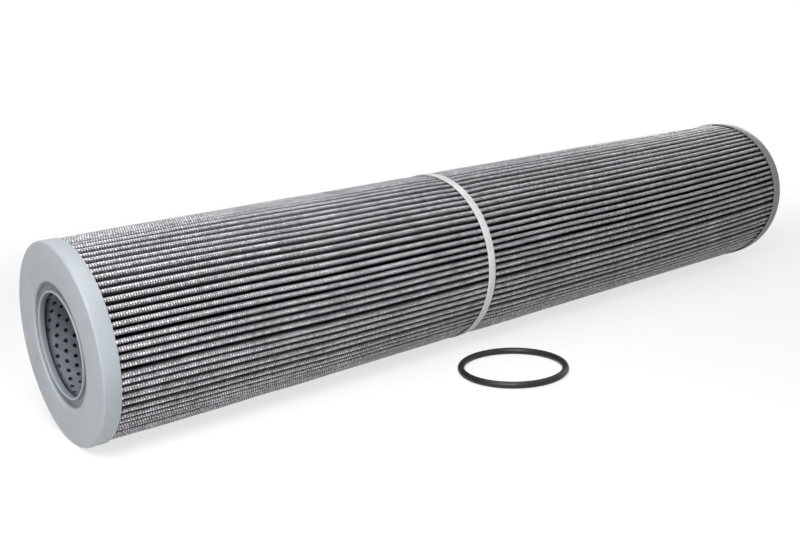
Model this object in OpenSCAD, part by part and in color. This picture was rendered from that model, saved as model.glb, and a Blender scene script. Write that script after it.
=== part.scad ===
// Long pleated return-line filter element for a hydraulic tank, lying on its
// side with its seal ring beside it. The axis runs along +X from the open
// end, the origin is the centre of the open cap's outer face, and the
// floor that the element lies on is at z = -cap_od / 2.

/* [Element] */
// Length over both end caps
element_len = 760; // [300:1:1100]
// Outer diameter of both end caps
cap_od = 143; // [120:0.5:180]
// Thickness of the drawn sheet of the caps
cap_sheet = 0.8; // [0.6:0.1:1.2]
// Radius where a cap's face turns into its skirt
cap_corner_r = 1.8; // [1.3:0.1:3]

/* [Open end cap] */
// Depth of the open cap's skirt
open_cap_h = 12.5; // [11:0.5:25]
// Radius of the rounded mouth of the seal groove
mouth_r = 1.8; // [1.3:0.1:2.8]
// Depth of the seal groove below the face
groove_depth = 3.6; // [3:0.1:5]
// Radius in the corners of the seal groove
groove_fillet = 0.7; // [0.3:0.1:1.2]
// Depth of the folded lip's crest below the face
lip_drop = 0.9; // [0.2:0.1:1.6]
// Length of the collar that the core tube slips over
collar_len = 0.8; // [0.5:0.1:4]

/* [Closed end cap] */
// Depth of the closed cap's skirt
closed_cap_h = 11.5; // [9:0.5:25]
// Depth of the pressed dish that centres the core tube
dish_depth = 3; // [2:0.1:6]

/* [Seal ring] */
// Inner diameter of the seal ring
ring_id = 75.57; // [60:0.01:84]
// Thickness of the seal ring's cord
ring_cord = 5.33; // [4.6:0.01:5.8]
// Side room that the cord has in its groove
ring_side_room = 0.3; // [0.2:0.05:0.8]
// Distance of the loose ring's centre from the open end
ring_x = 318; // [60:1:700]
// Gap between the loose ring and the side of the caps
ring_gap = -3.2; // [-20:0.1:60]

/* [Core tube] */
// Wall of the perforated core tube
core_wall = 0.8; // [0.5:0.1:1.5]
// Room between the collar and the core tube
core_fit = 0.1; // [0.05:0.05:0.3]
// Width of the strip that the tube is wound from
strip_w = 51; // [40:1:60]
// Diameter of the holes
hole_d = 3.4; // [2.5:0.1:4.5]
// Distance between neighbouring holes
hole_pitch = 7.5; // [6.5:0.1:10]
// Plain margin between the tube's end and its first holes
hole_margin = 1; // [0.5:0.1:5]
// Stretch next to the mouth whose holes are cut through
hole_stretch = 22; // [10:1:60]

/* [Pleat pack] */
// Thickness of the outer woven mesh
outer_mesh_t = 0.35; // [0.2:0.01:0.45]
// Thickness of the fleece over the medium
cover_fleece_t = 0.15; // [0.1:0.01:0.2]
// Thickness of the filter medium
medium_t = 0.4; // [0.3:0.01:0.45]
// Thickness of the drainage fleece under the medium
drain_fleece_t = 0.15; // [0.1:0.01:0.2]
// Thickness of the inner woven mesh
inner_mesh_t = 0.3; // [0.2:0.01:0.35]
// Outer bend radius of a fold at its tip
tip_bend_r = 1.75; // [1.7:0.01:2]
// Outer bend radius of a fold at its root
root_bend_r = 0.1; // [0.05:0.01:0.2]
// Smallest gap between two folds at the core
leg_gap = 0.25; // [0.2:0.01:0.6]
// Room between the folds and the core tube
core_room = 0.3; // [0.1:0.05:1]
// Room between the folds and the caps' skirts
skirt_room = 0.2; // [0.1:0.05:1]
// Angle of the fold with the side seam, from +Y towards +Z
seam_angle = -19; // [-180:1:180]
// Width of the adhesive in the side seam
seam_t = 0.5; // [0.3:0.05:0.6]
// Radial reach of the side seam
seam_reach = 14; // [5:0.5:20]

/* [Potting] */
// Adhesive bed between the caps and the ends of the folds
bed_t = 0.7; // [0.4:0.1:2]
// Depth to which the folds are sunk in the adhesive
pot_depth = 4; // [2:0.1:5]

/* [Band] */
// Distance of the band's middle from the open end
band_x = 337.5; // [150:0.5:600]
// Width of the band
band_w = 7.4; // [4:0.1:20]
// Thickness of the band
band_t = 0.9; // [0.4:0.1:1.5]
// Room between the band and the fold tips
band_room = 0.05; // [0.02:0.01:0.2]

/* [Hidden] */
$fn = 96;
eps = 0.01;

// Radii of the seal groove, the folded lip and the throat inside it
cap_r = cap_od / 2;
skirt_in_r = cap_r - cap_sheet;
groove_in_r = ring_id / 2 + ring_side_room;
groove_out_r = groove_in_r + ring_cord + ring_side_room;
throat_r = groove_in_r - 2 * cap_sheet;
collar_r = groove_in_r - cap_sheet;
groove_floor = groove_depth + cap_sheet;

// Core tube between the groove's floor and the closed cap
core_in_r = collar_r + core_fit;
core_r = core_in_r + core_wall;
core_x0 = groove_floor;
core_x1 = element_len - cap_sheet;
collar_end = groove_floor + collar_len;

// Helix of the wound strip, and its rows of holes
core_mid_r = core_r - core_wall / 2;
helix_angle = asin(strip_w / (2 * PI * core_mid_r));
row_pitch = hole_pitch * sin(60);
seam_margin = row_pitch / 2;
rows = floor((strip_w - seam_margin) / row_pitch);
hole_x0 = collar_end + hole_margin + hole_d / 2;
hole_x1 = hole_x0 + hole_stretch;
strip_reach = hole_x1 / sin(helix_angle) + strip_w;

// Pleat pack: walls counted from the outermost inwards
layers = [outer_mesh_t, cover_fleece_t, medium_t, drain_fleece_t, inner_mesh_t];
function depth_of(i) = i == 0 ? 0 : layers[i - 1] + depth_of(i - 1);
pack_t = depth_of(len(layers));
tip_r = skirt_in_r - skirt_room;
root_r = core_r + core_room;
tip_centre_r = tip_r - tip_bend_r;
root_bend_in_r = root_bend_r + pack_t;
root_centre_r = root_r + root_bend_in_r;
pleats = floor(180 / asin((root_bend_in_r + leg_gap / 2) / root_centre_r));
half_pitch = 180 / pleats;
pack_x0 = groove_floor + bed_t;
pack_x1 = element_len - cap_sheet - dish_depth - bed_t;

// Both circles that a fold is bent round, and the line between them
root_centre = root_centre_r * [cos(half_pitch), sin(half_pitch)];
centre_line = root_centre - [tip_centre_r, 0];
flank_angle = atan2(centre_line[1], centre_line[0])
              - acos((tip_bend_r + root_bend_r) / norm(centre_line));

function polar(r, a) = [r * cos(a), r * sin(a)];
function turn(p, a) = [p[0] * cos(a) - p[1] * sin(a), p[0] * sin(a) + p[1] * cos(a)];
function arc(c, r, a0, a1, steps) =
    [for (i = [0 : steps]) c + polar(r, a0 + (a1 - a0) * i / steps)];

// One fold of the wall that lies a depth below the outermost one
function fold(depth, tip_steps, root_steps) = concat(
    arc([tip_centre_r, 0], tip_bend_r - depth, -flank_angle, flank_angle, tip_steps),
    arc(root_centre, root_bend_r + depth, 180 + flank_angle,
        180 + 2 * half_pitch - flank_angle, root_steps));

// the visible wall has the rounder tips, the innermost the simplest
function tip_steps(i) = i == 0 ? 6 : i < len(layers) ? 3 : 2;
function root_steps(i) = i == 0 ? 1 : 2;
function outline(i) = [for (k = [0 : pleats - 1])
    for (p = fold(depth_of(i), tip_steps(i), root_steps(i)))
        turn(p, seam_angle + 2 * half_pitch * k)];

module along_x() { rotate([90, 0, 90]) children(); }

module from_closed_end() { translate([element_len, 0, 0]) mirror([1, 0, 0]) along_x() children(); }

// Sheet between two outlines of the pack
module pleated_wall(i_out, i_in, x0, x1) {
    translate([x0, 0, 0]) along_x() linear_extrude(height = x1 - x0)
        difference() {
            polygon(outline(i_out));
            polygon(outline(i_in));
        }
}

// Radial slot where the two ends of the folded sheets meet
module seam_slot(x0, x1, reach) {
    translate([x0, 0, 0]) along_x() linear_extrude(height = x1 - x0)
        rotate(seam_angle) translate([tip_r - seam_reach, -seam_t / 2]) square([reach, seam_t]);
}

module sheet(i) {
    difference() {
        pleated_wall(i, i + 1, pack_x0, pack_x1);
        seam_slot(pack_x0 - eps, pack_x1 + eps, seam_reach + 1);
    }
}

// Skirt and rounded corner of a cap, from the skirt's end to the face
function skirt_outside(h) = concat([[cap_r, h]],
    arc([cap_r - cap_corner_r, cap_corner_r], cap_corner_r, 0, -90, 5));
function skirt_inside(h) = concat(
    arc([cap_r - cap_corner_r, cap_corner_r], cap_corner_r - cap_sheet, -90, 0, 3),
    [[skirt_in_r, h]]);

// Cap with the rolled seal groove, the folded lip and the throat
module open_end_cap() {
    color([0.69, 0.71, 0.73]) along_x() rotate_extrude()
        polygon(concat(
            skirt_outside(open_cap_h),
            arc([groove_out_r + mouth_r, mouth_r], mouth_r, 270, 180, 5),
            arc([groove_out_r - groove_fillet, groove_depth - groove_fillet], groove_fillet, 0, 90, 3),
            arc([groove_in_r + groove_fillet, groove_depth - groove_fillet], groove_fillet, 90, 180, 3),
            arc([groove_in_r - cap_sheet, lip_drop + cap_sheet], cap_sheet, 0, -180, 8),
            [[throat_r, collar_end], [collar_r, collar_end], [collar_r, groove_floor]],
            [[groove_out_r + cap_sheet, groove_floor]],
            arc([groove_out_r + mouth_r, mouth_r], mouth_r - cap_sheet, 180, 270, 3),
            skirt_inside(open_cap_h)));
}

// Cap with the dish that centres the core tube
module closed_end_cap() {
    dish_r = core_in_r - core_fit - cap_sheet;
    color([0.69, 0.71, 0.73]) from_closed_end() rotate_extrude()
        polygon(concat(
            skirt_outside(closed_cap_h),
            [[dish_r, 0], [dish_r, dish_depth], [0, dish_depth], [0, dish_depth + cap_sheet]],
            [[dish_r + cap_sheet, dish_depth + cap_sheet], [dish_r + cap_sheet, cap_sheet]],
            skirt_inside(closed_cap_h)));
}

// Adhesive that fills a cap and the gaps between the ends of the folds
module open_end_potting() {
    pot_x1 = pack_x0 + pot_depth;
    color([0.23, 0.23, 0.25]) difference() {
        along_x() rotate_extrude()
            polygon([[core_r, groove_floor], [groove_out_r + cap_sheet, groove_floor],
                     [groove_out_r + cap_sheet, cap_corner_r], [groove_out_r + mouth_r, cap_sheet],
                     [cap_r - cap_corner_r, cap_sheet], [skirt_in_r, cap_corner_r],
                     [skirt_in_r, pot_x1], [core_r, pot_x1]]);
        pleated_wall(0, len(layers), pack_x0, pot_x1 + eps);
    }
}

module closed_end_potting() {
    pot_h = cap_sheet + dish_depth + bed_t + pot_depth;
    pot_x0 = element_len - pot_h;
    color([0.23, 0.23, 0.25]) difference() {
        from_closed_end() rotate_extrude()
            polygon([[core_r, cap_sheet], [cap_r - cap_corner_r, cap_sheet],
                     [skirt_in_r, cap_corner_r], [skirt_in_r, pot_h], [core_r, pot_h]]);
        pleated_wall(0, len(layers), pot_x0 - eps, pack_x1);
    }
}

// Holes of the wound strip: rows run along the strip, every other row offset
module core_holes() {
    steps = ceil(strip_reach / hole_pitch);
    for (row = [0 : rows - 1], i = [-steps : steps]) {
        s = (i + (row % 2) / 2) * hole_pitch;
        t = seam_margin + row * row_pitch;
        x = s * sin(helix_angle) + t * cos(helix_angle);
        a = (s * cos(helix_angle) - t * sin(helix_angle)) / core_mid_r * 180 / PI;
        if (x > hole_x0 && x < hole_x1)
            translate([x, 0, 0]) rotate([a, 0, 0]) translate([0, 0, core_in_r - core_wall])
                cylinder(d = hole_d, h = 3 * core_wall);
    }
}

module core_tube() {
    color([0.40, 0.42, 0.44]) difference() {
        translate([core_x0, 0, 0]) along_x() difference() {
            cylinder(r = core_r, h = core_x1 - core_x0);
            translate([0, 0, -eps]) cylinder(r = core_in_r, h = core_x1 - core_x0 + 2 * eps);
        }
        core_holes();
    }
}

module outer_mesh() { color([0.66, 0.67, 0.69]) sheet(0); }

module cover_fleece() { color([0.90, 0.90, 0.88]) sheet(1); }

module filter_medium() { color([0.95, 0.94, 0.90]) sheet(2); }

module drain_fleece() { color([0.88, 0.88, 0.86]) sheet(3); }

module inner_mesh() { color([0.66, 0.67, 0.69]) sheet(4); }

module side_seam() {
    color([0.75, 0.70, 0.55]) intersection() {
        seam_slot(pack_x0, pack_x1, seam_reach);
        translate([pack_x0, 0, 0]) along_x() cylinder(r = tip_r, h = pack_x1 - pack_x0);
    }
}

// Strap round the fold tips
module centre_band() {
    band_in_r = tip_r + band_room;
    color([0.86, 0.86, 0.84]) translate([band_x - band_w / 2, 0, 0]) along_x()
        rotate_extrude() translate([band_in_r, 0]) square([band_t, band_w]);
}

// Seal ring, taken off and laid beside the element
module seal_ring() {
    centre_r = (ring_id + ring_cord) / 2;
    color([0.12, 0.12, 0.13])
        translate([ring_x, -cap_r - ring_gap - centre_r - ring_cord / 2, ring_cord / 2 - cap_r])
            rotate_extrude() translate([centre_r, 0]) circle(d = ring_cord);
}

open_end_cap();
closed_end_cap();
open_end_potting();
closed_end_potting();
core_tube();
outer_mesh();
cover_fleece();
filter_medium();
drain_fleece();
inner_mesh();
side_seam();
centre_band();
seal_ring();
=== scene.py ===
# Pleated return-line filter element, lying on its side with its seal ring beside it.
# The element's axis runs along X, from the open end at x = 0 to the closed end.

import math
import random

import bpy
from mathutils import Matrix, Vector


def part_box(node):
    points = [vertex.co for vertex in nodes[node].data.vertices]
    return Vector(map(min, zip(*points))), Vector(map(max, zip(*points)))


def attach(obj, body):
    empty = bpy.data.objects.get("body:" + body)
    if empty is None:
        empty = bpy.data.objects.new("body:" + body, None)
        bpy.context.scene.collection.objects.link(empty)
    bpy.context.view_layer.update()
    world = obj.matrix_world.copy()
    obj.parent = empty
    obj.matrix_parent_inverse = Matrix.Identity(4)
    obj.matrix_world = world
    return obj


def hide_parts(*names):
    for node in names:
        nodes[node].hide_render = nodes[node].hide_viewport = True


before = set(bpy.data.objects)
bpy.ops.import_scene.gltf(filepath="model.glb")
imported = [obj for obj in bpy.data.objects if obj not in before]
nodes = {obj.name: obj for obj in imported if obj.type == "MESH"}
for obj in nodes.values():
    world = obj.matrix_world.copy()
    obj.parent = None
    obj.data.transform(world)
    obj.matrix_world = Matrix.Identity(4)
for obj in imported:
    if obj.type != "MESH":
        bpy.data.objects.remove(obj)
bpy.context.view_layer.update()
mm = 0.001
print("frame loaded with", len(nodes), "nodes")

scene = bpy.context.scene
scene.view_settings.view_transform = "Standard"


def deselectAll():
    bpy.ops.object.select_all(action="DESELECT")


def leaveEdit():
    bpy.ops.object.mode_set(mode="OBJECT")


def workOn(piece):
    if bpy.context.mode != "OBJECT":
        leaveEdit()
    deselectAll()
    piece.select_set(True)
    bpy.context.view_layer.objects.active = piece


def editAll(piece):  # edit mode with every point selected
    workOn(piece)
    bpy.ops.object.mode_set(mode="EDIT")
    bpy.ops.mesh.select_mode(type="VERT")
    bpy.ops.mesh.select_all(action="SELECT")


def editPoints(piece, chosen):  # edit mode with only these points selected
    editAll(piece)
    bpy.ops.mesh.select_all(action="DESELECT")
    leaveEdit()
    flags = [False] * len(piece.data.vertices)
    for index in chosen:
        flags[index] = True
    piece.data.vertices.foreach_set("select", flags)
    bpy.ops.object.mode_set(mode="EDIT")


def placeOrigin():  # the new piece's place goes into its mesh
    bpy.ops.object.transform_apply(location=True, rotation=True, scale=True)


def turnAboutAxis(angle, x):  # the angle grows from +Y towards +Z
    # with no window the operator turns the other way
    bpy.ops.transform.rotate(value=-angle, orient_axis="X", center_override=(x, 0, 0))


def resizeAboutAxis(factor, x):
    bpy.ops.transform.resize(value=(1, factor, factor), center_override=(x, 0, 0))


def extrudeAlong(step):
    bpy.ops.mesh.extrude_region_move(TRANSFORM_OT_translate={"value": (step, 0, 0)})


def addRing(name, x, radius, points):  # open circle round the element's axis
    deselectAll()
    bpy.ops.mesh.primitive_circle_add(vertices=points, radius=radius, location=(x, 0, 0),
                                      rotation=(0, math.pi / 2, 0))
    piece = bpy.context.object
    piece.name = name
    placeOrigin()
    return piece


def fromAxis(place):
    return math.hypot(place.y, place.z)


def faceOutwards(piece, wall):  # this wall has to look away from the axis
    outward = Vector((0, wall.center.y, wall.center.z))
    if wall.normal.dot(outward) < 0:
        editAll(piece)
        bpy.ops.mesh.flip_normals()
        leaveEdit()


def turnShell(name, path, points):  # drawn along x and radius in mm; the first wall is an outer one
    x, radius = path[0]
    piece = addRing(name, x * mm, radius * mm, points)
    editAll(piece)
    for nextX, nextRadius in path[1:]:
        extrudeAlong((nextX - x) * mm)
        resizeAboutAxis(nextRadius / radius, nextX * mm)
        x, radius = nextX, nextRadius
    leaveEdit()
    faceOutwards(piece, piece.data.polygons[0])
    return piece


def bend(centreX, centreRadius, bendRadius, start, end, steps):
    # one bend of such a path; its angles are in degrees, from the radius towards +x
    turns = [math.radians(start + (end - start) * k / steps) for k in range(steps + 1)]
    return [(centreX + bendRadius * math.sin(t), centreRadius + bendRadius * math.cos(t)) for t in turns]


def applyModifiers(piece):
    workOn(piece)
    for modifier in list(piece.modifiers):
        bpy.ops.object.modifier_apply(modifier=modifier.name)


def thicken(piece, thickness, offset=-1.0):
    solidify = piece.modifiers.new("sheet", "SOLIDIFY")
    solidify.thickness = thickness
    solidify.offset = offset
    applyModifiers(piece)


def softenEdges(piece, width, segments=2):
    bevel = piece.modifiers.new("edge", "BEVEL")
    bevel.width = width
    bevel.segments = segments
    bevel.limit_method = "ANGLE"
    bevel.angle_limit = math.radians(50)
    applyModifiers(piece)


def smooth(piece, angle):
    workOn(piece)
    bpy.ops.object.shade_smooth_by_angle(angle=math.radians(angle))


def finishShell(piece, thickness, edge, segments=2):  # a turned shell gets its wall, soft edges and shading
    thicken(piece, thickness * mm)
    softenEdges(piece, edge * mm, segments)
    smooth(piece, angle=35)


def handOver(piece, node, material):  # the piece stands for its CAD node
    piece.data.materials.clear()
    piece.data.materials.append(material)
    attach(piece, "root")
    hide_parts(node)


def feed(tree, socket, value):  # a link from another socket, or a plain value
    if isinstance(value, bpy.types.NodeSocket):
        tree.links.new(value, socket)
    else:
        socket.default_value = value


def feedByName(tree, node, inputs):  # names with an underscore stand for sockets with a space
    for name, value in inputs.items():
        feed(tree, node.inputs[name.replace("_", " ")], value)
    return node


def addNode(tree, kind, **inputs):
    return feedByName(tree, tree.nodes.new(kind), inputs)


def calc(tree, operation, *values):  # one step of arithmetic
    node = tree.nodes.new("ShaderNodeMath")
    node.operation = operation
    for socket, value in zip(node.inputs, values):
        feed(tree, socket, value)
    return node.outputs[0]


def product(tree, first, *others):
    for other in others:
        first = calc(tree, "MULTIPLY", first, other)
    return first


def ramp(tree, value, start, end, first, last, soft=False):  # goes from first to last between start and end
    node = addNode(tree, "ShaderNodeMapRange", Value=value, From_Min=start, From_Max=end,
                   To_Min=first, To_Max=last)
    if soft:
        node.interpolation_type = "SMOOTHSTEP"
    return node.outputs["Result"]


def mixColour(tree, factor, first, second):
    node = tree.nodes.new("ShaderNodeMix")
    node.data_type = "RGBA"
    for index, value in ((0, factor), (6, first), (7, second)):  # its sockets for colours
        feed(tree, node.inputs[index], value)
    return node.outputs[2]


def addBump(tree, shader, height, strength, depth):
    bump = addNode(tree, "ShaderNodeBump", Strength=strength, Distance=depth, Height=height)
    tree.links.new(bump.outputs["Normal"], shader.inputs["Normal"])


def newMaterial(name, metallic, roughness):
    material = bpy.data.materials.new(name)
    material.use_nodes = True
    tree = material.node_tree
    shader = tree.nodes["Principled BSDF"]
    shader.inputs["Metallic"].default_value = metallic
    shader.inputs["Roughness"].default_value = roughness
    return material, tree, shader


def newGroup(name, inputs, outputs):  # an input without a value is a vector
    group = bpy.data.node_groups.new(name, "ShaderNodeTree")
    for label, value in inputs.items():
        kind = "NodeSocketVector" if value is None else "NodeSocketFloat"
        socket = group.interface.new_socket(label, in_out="INPUT", socket_type=kind)
        if value is not None:
            socket.default_value = value
    for label in outputs:
        group.interface.new_socket(label, in_out="OUTPUT", socket_type="NodeSocketFloat")
    return group, group.nodes.new("NodeGroupInput"), group.nodes.new("NodeGroupOutput")


def placeGroup(tree, group, **inputs):
    node = tree.nodes.new("ShaderNodeGroup")
    node.node_tree = group
    return feedByName(tree, node, inputs)


def objectPlace(tree, scale=(1.0, 1.0, 1.0)):  # object coordinates, stretched
    place = tree.nodes.new("ShaderNodeTexCoord")
    mapping = addNode(tree, "ShaderNodeMapping", Vector=place.outputs["Object"], Scale=scale)
    return mapping.outputs["Vector"]


def readAttribute(tree, name):
    node = tree.nodes.new("ShaderNodeAttribute")
    node.attribute_name = name
    return node.outputs["Fac"]


def buildMottle():  # soft blotches: a value that wanders between Low and High
    group, ins, outs = newGroup(
        "mottle", {"Vector": None, "Scale": 50.0, "Low": 0.0, "High": 1.0}, ("Value",))
    noise = addNode(group, "ShaderNodeTexNoise", Vector=ins.outputs["Vector"], Scale=ins.outputs["Scale"],
                    Detail=4.0, Roughness=0.55)
    value = ramp(group, noise.outputs["Fac"], 0.3, 0.7, ins.outputs["Low"], ins.outputs["High"])
    group.links.new(value, outs.inputs["Value"])
    return group


weaveShape = {
    "level": 0.64,  # middle height of a wire, as a share of the highest point
    "swing": 0.36,  # how far it rises and dips as it passes over and under the others
    "narrowing": 1.2,  # makes the painted highlight on a knuckle's top narrower than the wire
}


def buildWeave(shape):  # plain-woven wire cloth, with a chance value for each knuckle; the knuckle value carries a painted highlight on each wire's top and painted shade where it dips under another
    group, ins, outs = newGroup(
        "plain weave",
        {"Along": 0.0, "Across": 0.0, "Pitch": 0.00182, "Wire": 0.52, "Running": 0.75},
        ("Height", "Knuckle", "Chance"))
    steps = [calc(group, "DIVIDE", ins.outputs[way], ins.outputs["Pitch"]) for way in ("Along", "Across")]
    heights = []
    for own, other, side in ((0, 1, 1.0), (1, 0, -1.0)):
        fromMiddle = calc(group, "ABSOLUTE", calc(group, "SUBTRACT", calc(group, "FRACT", steps[own]), 0.5))
        share = calc(group, "DIVIDE", fromMiddle, product(group, ins.outputs["Wire"], 0.5))
        left = calc(group, "SUBTRACT", 1.0, product(group, share, share))
        arch = calc(group, "SQRT", calc(group, "MAXIMUM", left, 0.0))
        wave = calc(group, "COSINE", product(group, calc(group, "SUBTRACT", steps[other], 0.5), math.pi))
        odd = calc(group, "FLOORED_MODULO", calc(group, "FLOOR", steps[own]), 2.0)
        sign = calc(group, "MULTIPLY_ADD", odd, -2.0, 1.0)
        middle = calc(group, "MULTIPLY_ADD", product(group, wave, sign),
                      side * shape["swing"], shape["level"])
        heights.append(product(group, arch, middle))
    group.links.new(calc(group, "MAXIMUM", *heights), outs.inputs["Height"])
    # painted highlight: the colour is brightest on a wire's top and fades towards its edges and where it
    # dips under
    crossing, running = [calc(group, "POWER", height, shape["narrowing"]) for height in heights]
    knuckle = calc(group, "MAXIMUM", crossing, product(group, running, ins.outputs["Running"]))
    group.links.new(knuckle, outs.inputs["Knuckle"])
    column, row = [calc(group, "FLOOR", step) for step in steps]
    cell = addNode(group, "ShaderNodeCombineXYZ", X=column, Y=row)
    chance = addNode(group, "ShaderNodeTexWhiteNoise", Vector=cell.outputs["Vector"])
    group.links.new(chance.outputs["Value"], outs.inputs["Chance"])
    return group


mottle = buildMottle()
plainWeave = buildWeave(weaveShape)


def wireClothMaterial(name, look):
    material, tree, shader = newMaterial(name, 0.0, look["roughness"])
    place = objectPlace(tree)
    pitch = look["pitch"]
    along = addNode(tree, "ShaderNodeSeparateXYZ", Vector=place).outputs["X"]
    labels = ("fromTip", "clothWay", "foldTone")
    fromTip, clothWay, foldTone = [readAttribute(tree, label) for label in labels]
    slanted = calc(tree, "MULTIPLY_ADD", clothWay, look["slant"], along)
    shifted = calc(tree, "MULTIPLY_ADD", foldTone, look["foldShift"] * pitch, slanted)
    phase, spread = look["tipPhase"]
    onTip = calc(tree, "MULTIPLY_ADD", foldTone, spread * pitch, phase * pitch)
    across = calc(tree, "MULTIPLY_ADD", fromTip, look["squeeze"], onTip)
    weave = placeGroup(tree, plainWeave, Along=shifted, Across=across, Pitch=pitch,
                       Wire=look["wire"], Running=look["running"])
    # painted glints: each knuckle gets its own brightness at random
    dimGlint, brightGlint = look["knuckleGlint"]
    shine = calc(tree, "MULTIPLY_ADD", weave.outputs["Chance"], brightGlint - dimGlint, dimGlint)
    dark, light = look["foldShade"]
    bright = product(tree, weave.outputs["Knuckle"], shine,
                     calc(tree, "MULTIPLY_ADD", foldTone, light - dark, dark))
    for size, low, high in (look["blotch"], look["grain"]):
        patch = placeGroup(tree, mottle, Vector=place, Scale=1 / size, Low=low, High=high)
        bright = product(tree, bright, patch.outputs["Value"])
    # painted shade: the cloth darkens with depth from the fold's tip
    for start, end, left in look["foldDepthShade"]:
        bright = product(tree, bright, ramp(tree, fromTip, start, end, 1.0, left, soft=True))
    # wires over openings; the openings' colour is painted shade
    colour = mixColour(tree, bright, look["openingShadeColour"], look["wireColour"])
    tree.links.new(colour, shader.inputs["Base Color"])
    tree.links.new(product(tree, weave.outputs["Height"], look["metallic"]), shader.inputs["Metallic"])
    addBump(tree, shader, weave.outputs["Height"], look["bump"], look["bumpDepth"] * pitch)
    return material


fibreDetail = {
    "threadStretch": (1.0, 0.25, 0.25),  # below 1 makes the threads longer that way
    "threadShare": 0.5,
    "blotchScale": 60.0,
    "blotchShare": 0.7,
    "bump": 0.35,
    "bumpDepth": 0.0003,
}


def fibreMaterial(name, look):  # fleece, glass fibre, strap and seam: matt with fine threads
    material, tree, shader = newMaterial(name, 0.0, look["roughness"])
    threads = addNode(tree, "ShaderNodeTexNoise", Vector=objectPlace(tree, fibreDetail["threadStretch"]),
                      Scale=look["threadScale"], Detail=5.0, Roughness=0.7).outputs["Fac"]
    blotch = placeGroup(tree, mottle, Vector=objectPlace(tree), Scale=fibreDetail["blotchScale"],
                        Low=0.0, High=fibreDetail["blotchShare"])
    factor = calc(tree, "MULTIPLY_ADD", threads, fibreDetail["threadShare"], blotch.outputs["Value"])
    tree.links.new(mixColour(tree, factor, *look["colours"]), shader.inputs["Base Color"])
    addBump(tree, shader, threads, fibreDetail["bump"], fibreDetail["bumpDepth"])
    return material


def addGrooveShade(tree, place, colour, look):  # painted shade in the groove and the throat, darker deeper in, up to the groove's outer edge
    shallow, deep, share = look["grooveShade"]
    spot = addNode(tree, "ShaderNodeSeparateXYZ", Vector=place).outputs
    squares = [product(tree, spot[way], spot[way]) for way in ("Y", "Z")]
    radius = calc(tree, "SQRT", calc(tree, "ADD", *squares))
    inside = ramp(tree, radius, *look["grooveShadeRadius"], 1.0, 0.0)
    grooveDarkening = product(tree, inside, ramp(tree, spot["X"], shallow, deep, 0.0, share))
    return mixColour(tree, grooveDarkening, colour, look["grooveShadeColour"])


def addMouthShadow(tree, place, colour, look):  # painted shadow on the tube wall just inside the open end
    scale, height = look["mouthShadowEdge"]
    uneven = placeGroup(tree, mottle, Vector=place, Scale=scale, Low=-height, High=height)
    along = addNode(tree, "ShaderNodeSeparateXYZ", Vector=place).outputs["X"]
    shadowed = ramp(tree, calc(tree, "ADD", along, uneven.outputs["Value"]), *look["mouthShadow"], 1.0, 0.0)
    return mixColour(tree, shadowed, colour, look["mouthShadowColour"])


def solidMaterial(name, look):  # sheet steel, rubber and adhesive: faint blotches, uneven gloss, fine grain
    material, tree, shader = newMaterial(name, look["metallic"], look["roughness"])
    shader.inputs["Specular IOR Level"].default_value = look["specular"]
    place = objectPlace(tree)
    blotch = placeGroup(tree, mottle, Vector=place, Scale=look["blotchScale"], Low=0.0, High=1.0)
    colour = mixColour(tree, blotch.outputs["Value"], *look["colours"])
    if "grooveShade" in look:
        colour = addGrooveShade(tree, place, colour, look)
    if "mouthShadow" in look:
        colour = addMouthShadow(tree, place, colour, look)
    tree.links.new(colour, shader.inputs["Base Color"])
    if "gloss" in look:
        scale, spread = look["gloss"]
        gloss = placeGroup(tree, mottle, Vector=place, Scale=scale,
                           Low=look["roughness"] - spread, High=look["roughness"] + spread)
        tree.links.new(gloss.outputs["Value"], shader.inputs["Roughness"])
    scale, detail, breakUp, strength, depth = look["grain"]
    grain = addNode(tree, "ShaderNodeTexNoise", Vector=place, Scale=scale, Detail=detail, Roughness=breakUp)
    addBump(tree, shader, grain.outputs["Fac"], strength, depth)
    return material


cameraSetup = {
    "azimuth": -35.67,  # degrees
    "elevation": 16.65,
    "roll": -3.52,
    "distance": 0.8012,
    "target": (0.23377, 0.0, -0.03809),
    "lens": 44.16,
    "imageSize": (800, 533),
    "axisPixel": (340, 325),  # where the lens axis meets the image
}


def placeCamera(setup):
    azimuth = math.radians(setup["azimuth"])
    elevation = math.radians(setup["elevation"])
    roll = math.radians(setup["roll"])
    back = Vector((math.sin(azimuth) * math.cos(elevation), -math.cos(azimuth) * math.cos(elevation),
                   math.sin(elevation)))
    level = Vector((0, 0, 1)).cross(back).normalized()
    upright = back.cross(level)
    right = math.cos(roll) * level + math.sin(roll) * upright
    up = math.cos(roll) * upright - math.sin(roll) * level
    turn = Matrix((right, up, back)).transposed().to_euler()
    bpy.ops.object.camera_add(location=Vector(setup["target"]) + back * setup["distance"], rotation=turn)
    camera = bpy.context.object
    width, height = setup["imageSize"]
    camera.data.sensor_width = 36
    camera.data.sensor_fit = "HORIZONTAL"
    camera.data.lens = setup["lens"]
    camera.data.shift_x = (width / 2 - setup["axisPixel"][0]) / width
    camera.data.shift_y = (setup["axisPixel"][1] - height / 2) / width
    camera.data.clip_start = 0.02
    scene.camera = camera


softboxes = {  # place, what the lamp looks at, its size in m and its power in W
    "keyLight": ((-0.22, -0.45, 0.58), (0.1, 0.0, 0.0), 0.42, 9.0),
    "topLight": ((0.35, 0.05, 0.75), (0.35, 0.0, 0.0), 0.6, 2.5),
    "faceLight": ((-0.75, -0.35, 0.25), (0.0, 0.0, 0.0), 0.5, 1.5),
    "fillLight": ((0.9, -1.3, 0.9), (0.4, 0.0, 0.0), 1.2, 0.8),
    "endLight": ((1.5, 0.35, 0.3), (0.76, 0.0, 0.0), 0.5, 3.2),
}
ambient = 0.07  # light from all round


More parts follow.
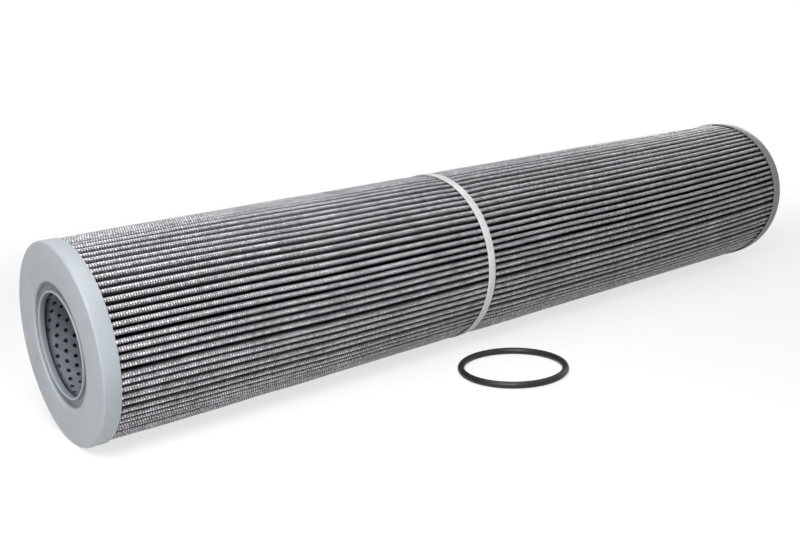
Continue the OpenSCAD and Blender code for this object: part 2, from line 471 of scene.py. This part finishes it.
def addSoftbox(name, place, aim, size, power):
    toAim = Vector(aim) - Vector(place)
    bpy.ops.object.light_add(type="AREA", location=place, rotation=toAim.to_track_quat("-Z", "Y").to_euler())
    lamp = bpy.context.object
    lamp.name = name
    lamp.data.size = size
    lamp.data.energy = power


def seenDirectly(tree):  # 1 for camera, glossy and transmission rays
    path = tree.nodes.new("ShaderNodeLightPath")
    seen = calc(tree, "MAXIMUM", path.outputs["Is Camera Ray"], path.outputs["Is Glossy Ray"])
    return calc(tree, "MAXIMUM", seen, path.outputs["Is Transmission Ray"])


def lightTheRoom():
    for name, (place, aim, size, power) in softboxes.items():
        addSoftbox(name, place, aim, size, power)
    world = bpy.data.worlds.new("studio")
    scene.world = world
    world.use_nodes = True
    tree = world.node_tree
    room = tree.nodes["Background"]
    room.inputs["Color"].default_value = (1.0, 1.0, 1.0, 1.0)
    room.inputs["Strength"].default_value = ambient
    backdrop = addNode(tree, "ShaderNodeBackground", Color=(1.0, 1.0, 1.0, 1.0), Strength=1.0)
    mix = tree.nodes.new("ShaderNodeMixShader")
    tree.links.new(seenDirectly(tree), mix.inputs[0])
    tree.links.new(room.outputs[0], mix.inputs[1])
    tree.links.new(backdrop.outputs[0], mix.inputs[2])
    tree.links.new(mix.outputs[0], tree.nodes["World Output"].inputs["Surface"])


floorSetup = {
    "size": 12.0,
    "centre": (0.3, 0.0),
    "height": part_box("seal_ring")[0][2] - 0.0002,  # a hair under the ring
    "colour": (0.9, 0.9, 0.9, 1.0),
    "ownGlow": 0.72,  # share of the white that does not depend on the lamps, so that the shadow stays soft
    "middle": (0.38, -0.05, 0.0),
    "near": 0.45,  # from this to the far distance the paper fades into the white backdrop
    "far": 0.9,
}


def layFloor(setup):
    deselectAll()
    bpy.ops.mesh.primitive_plane_add(size=setup["size"], location=(*setup["centre"], setup["height"]))
    floor = bpy.context.object
    floor.name = "floor"
    placeOrigin()
    material, tree, paper = newMaterial("floorPaper", 0.0, 0.9)
    paper.inputs["Base Color"].default_value = setup["colour"]
    paper.inputs["Specular IOR Level"].default_value = 0.0
    glow = addNode(tree, "ShaderNodeEmission", Color=(1.0, 1.0, 1.0, 1.0), Strength=1.0)
    mix = tree.nodes.new("ShaderNodeMixShader")
    fromMiddle = addNode(tree, "ShaderNodeVectorMath", Vector=objectPlace(tree))
    fromMiddle.operation = "DISTANCE"
    fromMiddle.inputs[1].default_value = setup["middle"]
    fade = ramp(tree, fromMiddle.outputs["Value"], setup["near"], setup["far"],
                setup["ownGlow"], 1.0, soft=True)
    tree.links.new(product(tree, seenDirectly(tree), fade), mix.inputs[0])
    tree.links.new(paper.outputs[0], mix.inputs[1])
    tree.links.new(glow.outputs[0], mix.inputs[2])
    tree.links.new(mix.outputs[0], tree.nodes["Material Output"].inputs["Surface"])
    floor.data.materials.append(material)


placeCamera(cameraSetup)
lightTheRoom()
layFloor(floorSetup)
print("camera, lamps and floor placed")


pleatPack = {
    "folds": 79,
    "tipRadius": 70.5,  # mm
    "tipBend": 1.75,
    "rootCentre": 39.935,  # distance of the root bend's centre from the axis
    "rootBend": 0.1,
    "tipSteps": 4,  # points on half a fold's tip
    "phase": -19.0,  # degrees
    "unevenness": 0.5,  # degrees that a fold may lean to either side
    "heightSpread": 0.2,  # mm that a fold may stand lower
    # x in mm, how far the folds have wandered round the element there, in degrees, and how far they swell
    # outwards, in mm; the band presses them back
    "wander": ((5.1, 0.0, 0.0), (18, 0.03, 0.05), (32, 0.15, 0.25), (60, 0.5, 0.5), (88, 0.88, 0.65),
               (116, 1.38, 0.7), (144, 1.9, 0.7), (172, 2.5, 0.75), (200, 2.88, 0.75), (242, 3.13, 0.75),
               (312, 3.38, 0.6), (332, 3.45, 0.02), (343, 3.48, 0.02), (363, 3.53, 0.6), (400, 3.58, 0.75),
               (434, 3.53, 0.75), (504, 3.75, 0.75), (546, 3.53, 0.75), (602, 3.1, 0.7), (644, 2.55, 0.7),
               (686, 1.75, 0.6), (720, 0.9, 0.4), (745, 0.15, 0.05), (755.5, 0.0, 0.0)),
    "waver": 1.1,  # mm, strength of the slow waver
    "waverSize": 7.0,  # mm across the folds
    "waverStretch": 14.0,  # how much longer the waver is along them
    "seed": 7,
}

plies = (  # piece, CAD node, slot, depth of its outer side and thickness in mm
    ("outerMesh", "outer_mesh", "wire_mesh", 0.0, 0.35),
    ("coverFleece", "cover_fleece", "fleece", 0.35, 0.15),
    ("filterMedium", "filter_medium", "glass_medium", 0.5, 0.4),
    ("drainFleece", "drain_fleece", "fleece", 0.9, 0.15),
    ("innerMesh", "inner_mesh", "wire_mesh", 1.05, 0.3),
)


def foldLeans(pack):  # each fold's own lean, height and tone, the same for every ply
    dice = random.Random(pack["seed"])
    leans = []
    for fold in range(pack["folds"]):
        leans.append((dice.uniform(-1, 1) * pack["unevenness"], dice.uniform(0, 1) * pack["heightSpread"],
                      dice.random()))
    return leans


def foldProfile(pack, depth):  # radius, angle and way along the wall, from a fold's tip to its root
    halfPitch = math.pi / pack["folds"]
    tipCentre = Vector((pack["tipRadius"] - pack["tipBend"], 0))
    rootCentre = pack["rootCentre"] * Vector((math.cos(halfPitch), math.sin(halfPitch)))
    line = rootCentre - tipCentre
    flank = math.atan2(line.y, line.x) - math.acos((pack["tipBend"] + pack["rootBend"]) / line.length)
    tipRadius = pack["tipBend"] - depth
    rootRadius = pack["rootBend"] + depth
    points = []
    for k in range(pack["tipSteps"] + 1):
        turn = flank * k / pack["tipSteps"]
        points.append(tipCentre + tipRadius * Vector((math.cos(turn), math.sin(turn))))
    points.append(rootCentre + rootRadius * Vector((math.cos(math.pi + flank), math.sin(math.pi + flank))))
    points.append(rootCentre - rootRadius * Vector((math.cos(halfPitch), math.sin(halfPitch))))
    profile = []
    way = 0.0
    for k, point in enumerate(points):
        if k:
            way += (point - points[k - 1]).length
        profile.append((point.length, math.atan2(point.y, point.x), way))
    return profile


def drawAlong(wander, radius):  # draws the selected ring out along the element, as the folds wander
    for (x0, drift0, swell0), (x1, drift1, swell1) in zip(wander, wander[1:]):
        extrudeAlong((x1 - x0) * mm)
        turnAboutAxis(math.radians(drift1 - drift0), x1 * mm)
        resizeAboutAxis((radius + swell1) / (radius + swell0), x1 * mm)


def storeOnPoints(piece, name, values):  # for the material to read
    piece.data.attributes.new(name, "FLOAT", "POINT").data.foreach_set("value", values)


def waverFolds(ply, pack):  # the noise is stretched along the folds, so that each keeps its own slow waver
    squeeze = 1 / pack["waverStretch"]
    for factor in (squeeze, 1 / squeeze):
        editAll(ply)
        bpy.ops.transform.resize(value=(factor, 1, 1), center_override=(0, 0, 0))
        leaveEdit()
        if factor == squeeze:
            for direction in ("Y", "Z"):
                noise = bpy.data.textures.new("waver" + direction, "CLOUDS")
                noise.noise_scale = pack["waverSize"] * mm
                push = ply.modifiers.new("waver", "DISPLACE")
                push.texture = noise
                push.texture_coords = "LOCAL"
                push.direction = direction
                push.mid_level = 0.5
                push.strength = pack["waver"] * mm
                applyModifiers(ply)


def makePly(pack, name, depth, thickness):
    half = foldProfile(pack, depth)
    mirrored = [(radius, -angle, way) for radius, angle, way in half[-2:0:-1]]
    profile = half + mirrored
    perFold = len(profile)
    total = perFold * pack["folds"]
    pitch = math.tau / pack["folds"]
    x = pack["wander"][0][0] * mm
    ply = addRing(name, x, pack["tipRadius"] * mm, total)
    for k, (radius, angle, way) in enumerate(profile):  # the same point of every fold
        wanted = angle if k < len(half) else angle + pitch
        editPoints(ply, range(k, total, perFold))
        resizeAboutAxis(radius / pack["tipRadius"], x)
        turnAboutAxis(wanted - k * pitch / perFold, x)
    leaveEdit()
    leans = foldLeans(pack)
    reach = profile[len(half) - 1][2]
    ways = [way if k < len(half) else 2 * reach - way for k, (radius, angle, way) in enumerate(profile)]
    spots = [(index // perFold, index % perFold) for index in range(total)]
    tones = [leans[(index + perFold // 2) // perFold % pack["folds"]][2] for index in range(total)]
    storeOnPoints(ply, "fromTip", [profile[k][2] * mm for fold, k in spots])
    storeOnPoints(ply, "clothWay", [(ways[k] + fold * 2 * reach) * mm for fold, k in spots])
    storeOnPoints(ply, "foldTone", tones)
    for fold, (lean, drop, tone) in enumerate(leans):  # a fold's points lie on both sides of its tip
        first = fold * perFold - len(mirrored)
        editPoints(ply, [index % total for index in range(first, fold * perFold + len(half) - 1)])
        turnAboutAxis(math.radians(lean), x)
        resizeAboutAxis(1 - drop / pack["tipRadius"], x)
    leaveEdit()
    editAll(ply)
    turnAboutAxis(math.radians(pack["phase"]), x)
    drawAlong(pack["wander"], pack["tipRadius"])
    leaveEdit()
    waverFolds(ply, pack)
    # the walls come in no fixed order, and only those at the fold tips look clearly away from the axis
    faceOutwards(ply, max(ply.data.polygons, key=lambda wall: fromAxis(wall.center)))
    thicken(ply, thickness * mm)
    smooth(ply, angle=60)
    return ply


meshLook = {
    "pitch": 0.00182,  # m from wire to wire
    "wire": 0.56,  # width of a wire, in pitches
    "running": 0.65,  # painted shade on the wires along the folds: how bright they are beside those across them
    "knuckleGlint": (0.67, 1.34),  # painted glints: the dimmest and the brightest knuckle, at random
    "foldShade": (0.88, 1.12),  # the darkest and the lightest fold
    "blotch": (1 / 35, 0.82, 1.1),  # size in m, darkest and brightest
    "grain": (0.0026, 0.47, 1.43),
    "tipPhase": (0.4, 0.2),  # where the wires lie on a fold's tip, in pitches, and how far that differs
    "foldShift": 8,  # how far, in pitches, one fold's wires may lie from the next one's
    "squeeze": 1.12,  # the wires that run along the folds lie closer together
    "slant": -0.05,  # how far the wires run off square
    # painted shade down the folds, where the shade falls between them: from and to which depth in m, and how
    # much of the light it leaves
    "foldDepthShade": ((0.0007, 0.0019, 0.42), (0.003, 0.0065, 0.13)),
    # painted shade: the openings between the wires get the dark of the shaded fleece behind them
    "openingShadeColour": (0.024, 0.023, 0.028, 1.0),
    "wireColour": (0.93, 0.91, 0.965, 1.0),
    "metallic": 0.35,
    "roughness": 0.4,
    "bump": 0.8,
    "bumpDepth": 0.2,  # in pitches
}
fleeceLook = {
    "colours": ((0.55, 0.55, 0.52, 1.0), (0.82, 0.82, 0.79, 1.0)),
    "threadScale": 2600.0,
    "roughness": 0.9,
}
glassLook = {
    "colours": ((0.66, 0.64, 0.58, 1.0), (0.9, 0.89, 0.84, 1.0)),
    "threadScale": 4200.0,
    "roughness": 0.95,
}
plyFinishes = {
    "wire_mesh": wireClothMaterial("wireCloth", meshLook),
    "fleece": fibreMaterial("fleece", fleeceLook),
    "glass_medium": fibreMaterial("glassFibre", glassLook),
}

for plyName, plyNode, plySlot, plyDepth, plyThickness in plies:
    handOver(makePly(pleatPack, plyName, plyDepth, plyThickness), plyNode, plyFinishes[plySlot])
print("five plies folded")


openCapShape = {
    "radius": 71.5,  # mm, as all of these
    "sheet": 0.8,
    "wallShare": 0.98,  # of the sheet, so that the lip's inner side does not fold over itself
    "edge": 0.2,
    "corner": 1.8,
    "skirt": 12.5,
    "mouth": 1.8,  # bend between the face and the groove
    "grooveOut": 43.715,
    "grooveIn": 38.085,
    "grooveDepth": 3.6,
    "fillet": 0.7,
    "lipDrop": 0.9,
    "throat": 36.485,
    "throatEnd": 5.2,
    "points": 192,
}


def openCapPath(shape):
    corner = bend(shape["corner"], shape["radius"] - shape["corner"], shape["corner"], 0, -90, 6)
    mouth = bend(shape["mouth"], shape["grooveOut"] + shape["mouth"], shape["mouth"], 270, 180, 6)
    outerFillet = bend(shape["grooveDepth"] - shape["fillet"], shape["grooveOut"] - shape["fillet"],
                       shape["fillet"], 0, 90, 4)
    innerFillet = bend(shape["grooveDepth"] - shape["fillet"], shape["grooveIn"] + shape["fillet"],
                       shape["fillet"], 90, 180, 4)
    lip = bend(shape["lipDrop"] + shape["sheet"], shape["grooveIn"] - shape["sheet"], shape["sheet"],
               0, -180, 8)
    return ([(shape["skirt"], shape["radius"])] + corner + mouth + outerFillet + innerFillet + lip
            + [(shape["throatEnd"], shape["throat"])])


closedCapShape = {
    "length": 760.0,  # mm, as all of these
    "radius": 71.5,
    "sheet": 0.8,
    "edge": 0.2,
    "corner": 1.8,
    "skirt": 11.5,
    "dishRadius": 36.485,
    "dishDepth": 3.0,
    "dishBend": 1.2,
    "dishSlope": 0.6,
    "dishRings": (12.0, 1.0),  # radius of the rings on the dish's floor; the last one is closed
    "points": 192,
}


def closedCapPath(shape):
    face = shape["length"]
    corner = bend(face - shape["corner"], shape["radius"] - shape["corner"], shape["corner"], 0, 90, 6)
    rim = bend(face - shape["dishBend"], shape["dishRadius"] + shape["dishBend"], shape["dishBend"],
               90, 180, 4)
    rings = (shape["dishRadius"] - shape["dishSlope"],) + shape["dishRings"]
    return ([(face - shape["skirt"], shape["radius"])] + corner + rim
            + [(face - shape["dishDepth"], radius) for radius in rings])


capLook = {
    "colours": ((0.285, 0.31, 0.335, 1.0), (0.32, 0.345, 0.37, 1.0)),
    "specular": 0.25,
    "metallic": 0.0,
    "roughness": 0.42,
    "blotchScale": 28.0,
    "gloss": (86.8, 0.05),  # scale of its blotches and how far the roughness goes up and down
    "grain": (2200.0, 3.0, 0.6, 0.08, 0.0002),  # scale, detail, break-up, strength and depth in m
}
openCapLook = {
    **capLook,
    "grooveShade": (0.0006, 0.003, 0.75),  # painted shade: from and to which depth in m, and how far it darkens the steel
    "grooveShadeRadius": (0.0434, 0.0446),  # the painted shade thins out from and to this distance from the axis, in m
    "grooveShadeColour": (0.13, 0.145, 0.16, 1.0),
}
# the same steel as the open cap, painted darker: painted shade at the far end
closedCapShadedLook = {
    **capLook,
    "colours": ((0.205, 0.227, 0.235, 1.0), (0.24, 0.263, 0.271, 1.0)),
}


def makeOpenCap(shape):
    cap = turnShell("openEndCap", openCapPath(shape), shape["points"])
    finishShell(cap, shape["sheet"] * shape["wallShare"], shape["edge"])
    return cap


def makeClosedCap(shape):
    cap = turnShell("closedEndCap", closedCapPath(shape), shape["points"])
    between = sum(shape["dishRings"]) / 2 * mm
    editPoints(cap, [point.index for point in cap.data.vertices if fromAxis(point.co) < between])
    bpy.ops.mesh.edge_face_add()  # closes the middle of the dish
    leaveEdit()
    finishShell(cap, shape["sheet"], shape["edge"])
    return cap


handOver(makeOpenCap(openCapShape), "open_end_cap", solidMaterial("openCapSteel", openCapLook))
handOver(makeClosedCap(closedCapShape), "closed_end_cap",
         solidMaterial("closedCapShadedSteel", closedCapShadedLook))
print("end caps turned")


coreShape = {
    "x0": 4.4,  # mm, as all lengths here
    "x1": 759.2,
    "innerRadius": 37.385,
    "wall": 0.8,
    "stripWidth": 51.0,
    "rows": 7,  # of holes, along the strip
    "columns": 556,
    "holePitch": 7.5,
    "holeRadius": 1.7,
    "holeAt": (11.4, -16.5),  # x in mm and angle in degrees of one hole
    "rowOfHole": 3,
    "columnOfHole": 69,
}


def rowPitch(shape):  # the holes stand in triangles
    return shape["holePitch"] * math.sin(math.radians(60)) * mm


def makeStrip(shape):  # flat strip: one cell with a round hole is modelled and repeated
    deselectAll()
    halfWidth = shape["holePitch"] / 2 * mm
    rowStep = rowPitch(shape)
    bpy.ops.mesh.primitive_circle_add(vertices=8, radius=1.0, location=(0, 0, 0))
    strip = bpy.context.object
    strip.name = "coreTube"
    for chosen, reach in (([1, 3, 5, 7], math.sqrt(0.5)), ([0, 2, 4, 6], 1)):  # the cell's corners and sides
        editPoints(strip, chosen)
        bpy.ops.transform.resize(value=(halfWidth / reach, rowStep / 2 / reach, 1),
                                 center_override=(0, 0, 0))
    editAll(strip)
    bpy.ops.mesh.extrude_region_move()
    leaveEdit()
    reaches = [point.co.length for point in strip.data.vertices]
    for index in range(8, 16):  # the inner points close in to a round hole
        factor = shape["holeRadius"] * mm / reaches[index]
        editPoints(strip, [index])
        bpy.ops.transform.resize(value=(factor, factor, 1), center_override=(0, 0, 0))
    leaveEdit()
    for count, step in ((shape["columns"], (2 * halfWidth, 0, 0)), (shape["rows"], (halfWidth, rowStep, 0))):
        copies = strip.modifiers.new("copies", "ARRAY")
        copies.count = count
        copies.use_relative_offset = False
        copies.use_constant_offset = True
        copies.constant_offset_displace = step
    applyModifiers(strip)
    editAll(strip)
    bpy.ops.mesh.remove_doubles(threshold=0.02 * mm)
    leaveEdit()
    margin = (shape["stripWidth"] * mm - shape["rows"] * rowStep) / 2
    for edge, step in ((-rowStep / 2, -margin), ((shape["rows"] - 0.5) * rowStep, margin)):  # plain borders
        border = [point.index for point in strip.data.vertices if abs(point.co.y - edge) < 0.01 * mm]
        editPoints(strip, border)
        bpy.ops.mesh.extrude_region_move(TRANSFORM_OT_translate={"value": (0, step, 0)})
        leaveEdit()
    return strip


def windStrip(strip, shape):
    # no bend tool winds fifteen turns, so each point is laid on the helix
    inner = shape["innerRadius"] * mm
    middle = inner + shape["wall"] / 2 * mm
    helix = math.asin(shape["stripWidth"] * mm / (math.tau * middle))
    holeX, holeAngle = shape["holeAt"]
    startX = (shape["columnOfHole"] + shape["rowOfHole"] / 2) * shape["holePitch"] * mm
    startY = shape["rowOfHole"] * rowPitch(shape)
    for point in strip.data.vertices:
        a = point.co.x - startX
        b = point.co.y - startY
        x = holeX * mm + a * math.sin(helix) + b * math.cos(helix)
        angle = math.radians(holeAngle) + (a * math.cos(helix) - b * math.sin(helix)) / middle
        point.co = (x, inner * math.cos(angle), inner * math.sin(angle))


def makeCoreTube(shape):
    strip = makeStrip(shape)
    windStrip(strip, shape)
    for place, side in ((shape["x0"], -1), (shape["x1"], 1)):  # both ends are sawn square
        editAll(strip)
        bpy.ops.mesh.bisect(plane_co=(place * mm, 0, 0), plane_no=(side, 0, 0), clear_outer=True)
        leaveEdit()
    faceOutwards(strip, strip.data.polygons[0])
    thicken(strip, shape["wall"] * mm, offset=1.0)
    smooth(strip, angle=30)
    return strip


coreLook = {
    # painted shade: darker than the steel is, for the shade inside the tube
    "colours": ((0.13, 0.15, 0.175, 1.0), (0.21, 0.235, 0.265, 1.0)),
    # painted shadow inside the tube behind the lip
    "mouthShadow": (0.0062, 0.0098),  # it thins out from and to this x in m
    "mouthShadowEdge": (160.0, 0.0004),  # how fine its edge wanders and how far in m
    "mouthShadowColour": (0.012, 0.014, 0.018, 1.0),
    "specular": 0.4,
    "metallic": 0.2,
    "roughness": 0.5,
    "blotchScale": 60.0,
    "gloss": (186.0, 0.08),
    "grain": (1500.0, 3.0, 0.6, 0.15, 0.0002),
}
handOver(makeCoreTube(coreShape), "core_tube", solidMaterial("coreSteel", coreLook))
print("core tube wound")


bandShape = {
    "middle": 337.5,  # mm, as all of these
    "width": 7.4,
    "innerRadius": 70.55,
    "thickness": 0.9,
    "crown": (1.2, 0.05),  # half its width and its height
    "edge": 0.25,
    "points": 237,
}


def makeBand(shape):
    half = shape["width"] / 2 - shape["edge"]
    crownHalf, crown = shape["crown"]
    outer = shape["innerRadius"] + shape["thickness"]
    steps = ((-half, 0), (-crownHalf, crown), (crownHalf, crown), (half, 0))
    path = [(shape["middle"] + step, outer + rise) for step, rise in steps]
    band = turnShell("centreBand", path, shape["points"])
    finishShell(band, shape["thickness"], shape["edge"], segments=3)
    return band


bandLook = {
    "colours": ((0.46, 0.465, 0.47, 1.0), (0.6, 0.605, 0.61, 1.0)),
    "threadScale": 900.0,
    "roughness": 0.6,
}
handOver(makeBand(bandShape), "centre_band", fibreMaterial("strap", bandLook))
print("band strapped")


ringShape = {
    "cordRadius": 2.665,  # mm
    "centreRadius": 40.45,
    "ringSteps": 160,
    "cordSteps": 24,
    "mouldLine": 0.06,  # how far it stands proud
}


def makeSealRing(shape):
    low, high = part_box("seal_ring")
    centre = [(a + b) / 2 for a, b in zip(low, high)]
    deselectAll()
    bpy.ops.mesh.primitive_torus_add(major_radius=shape["centreRadius"] * mm,
                                     minor_radius=shape["cordRadius"] * mm,
                                     major_segments=shape["ringSteps"], minor_segments=shape["cordSteps"],
                                     location=centre)
    ring = bpy.context.object
    ring.name = "sealRing"
    for side in (1, -1):  # the mould line runs round the outside and the inside
        reach = shape["centreRadius"] + side * shape["cordRadius"]
        factor = 1 + side * shape["mouldLine"] / reach
        editPoints(ring, [point.index for point in ring.data.vertices
                          if abs(math.hypot(point.co.x, point.co.y) / mm - reach) < 0.01])
        bpy.ops.transform.resize(value=(factor, factor, 1), center_override=centre)
        leaveEdit()
    placeOrigin()
    smooth(ring, angle=60)
    return ring


ringLook = {
    "colours": ((0.012, 0.012, 0.014, 1.0), (0.02, 0.02, 0.023, 1.0)),
    "specular": 0.27,
    "metallic": 0.0,
    "roughness": 0.35,
    "blotchScale": 90.0,
    "gloss": (160.0, 0.07),
    "grain": (1800.0, 3.0, 0.5, 0.12, 0.0002),
}
handOver(makeSealRing(ringShape), "seal_ring", solidMaterial("sealRubber", ringLook))
print("seal ring laid down")


pottingLook = {
    "colours": ((0.02, 0.02, 0.023, 1.0), (0.045, 0.045, 0.05, 1.0)),
    "specular": 0.5,
    "metallic": 0.0,
    "roughness": 0.35,
    "blotchScale": 120.0,
    "grain": (300.0, 2.0, 0.5, 0.3, 0.0005),
}
adhesive = solidMaterial("pottingAdhesive", pottingLook)
for pottingNode in ("open_end_potting", "closed_end_potting"):  # these two stay CAD nodes
    nodes[pottingNode].data.materials.clear()
    nodes[pottingNode].data.materials.append(adhesive)

seamShape = {
    "outerRadius": 70.6,  # mm, as all of these
    "reach": 14.0,
    "thickness": 0.5,
    "edge": 0.1,
}


def makeSeam(pack, shape):  # adhesive between the two ends of the plies, in one fold
    middle = shape["outerRadius"] - shape["reach"] / 2
    x0, x1 = pack["wander"][0][0], pack["wander"][1][0]
    deselectAll()
    bpy.ops.mesh.primitive_cube_add(size=1, location=((x0 + x1) / 2 * mm, middle * mm, 0),
                                    scale=((x1 - x0) * mm, shape["reach"] * mm, shape["thickness"] * mm))
    seam = bpy.context.object
    seam.name = "sideSeam"
    placeOrigin()
    editAll(seam)
    turnAboutAxis(math.radians(pack["phase"] + foldLeans(pack)[0][0]), x0 * mm)
    leaveEdit()
    end = [point.index for point in seam.data.vertices if point.co.x > (x0 + x1) / 2 * mm]
    editPoints(seam, end)
    drawAlong(pack["wander"][1:], shape["outerRadius"])
    leaveEdit()
    softenEdges(seam, shape["edge"] * mm)
    smooth(seam, angle=40)
    return seam


seamLook = {
    "colours": ((0.42, 0.38, 0.28, 1.0), (0.55, 0.5, 0.38, 1.0)),
    "threadScale": 500.0,
    "roughness": 0.4,
}
handOver(makeSeam(pleatPack, seamShape), "side_seam", fibreMaterial("seamAdhesive", seamLook))
print("adhesive finished")
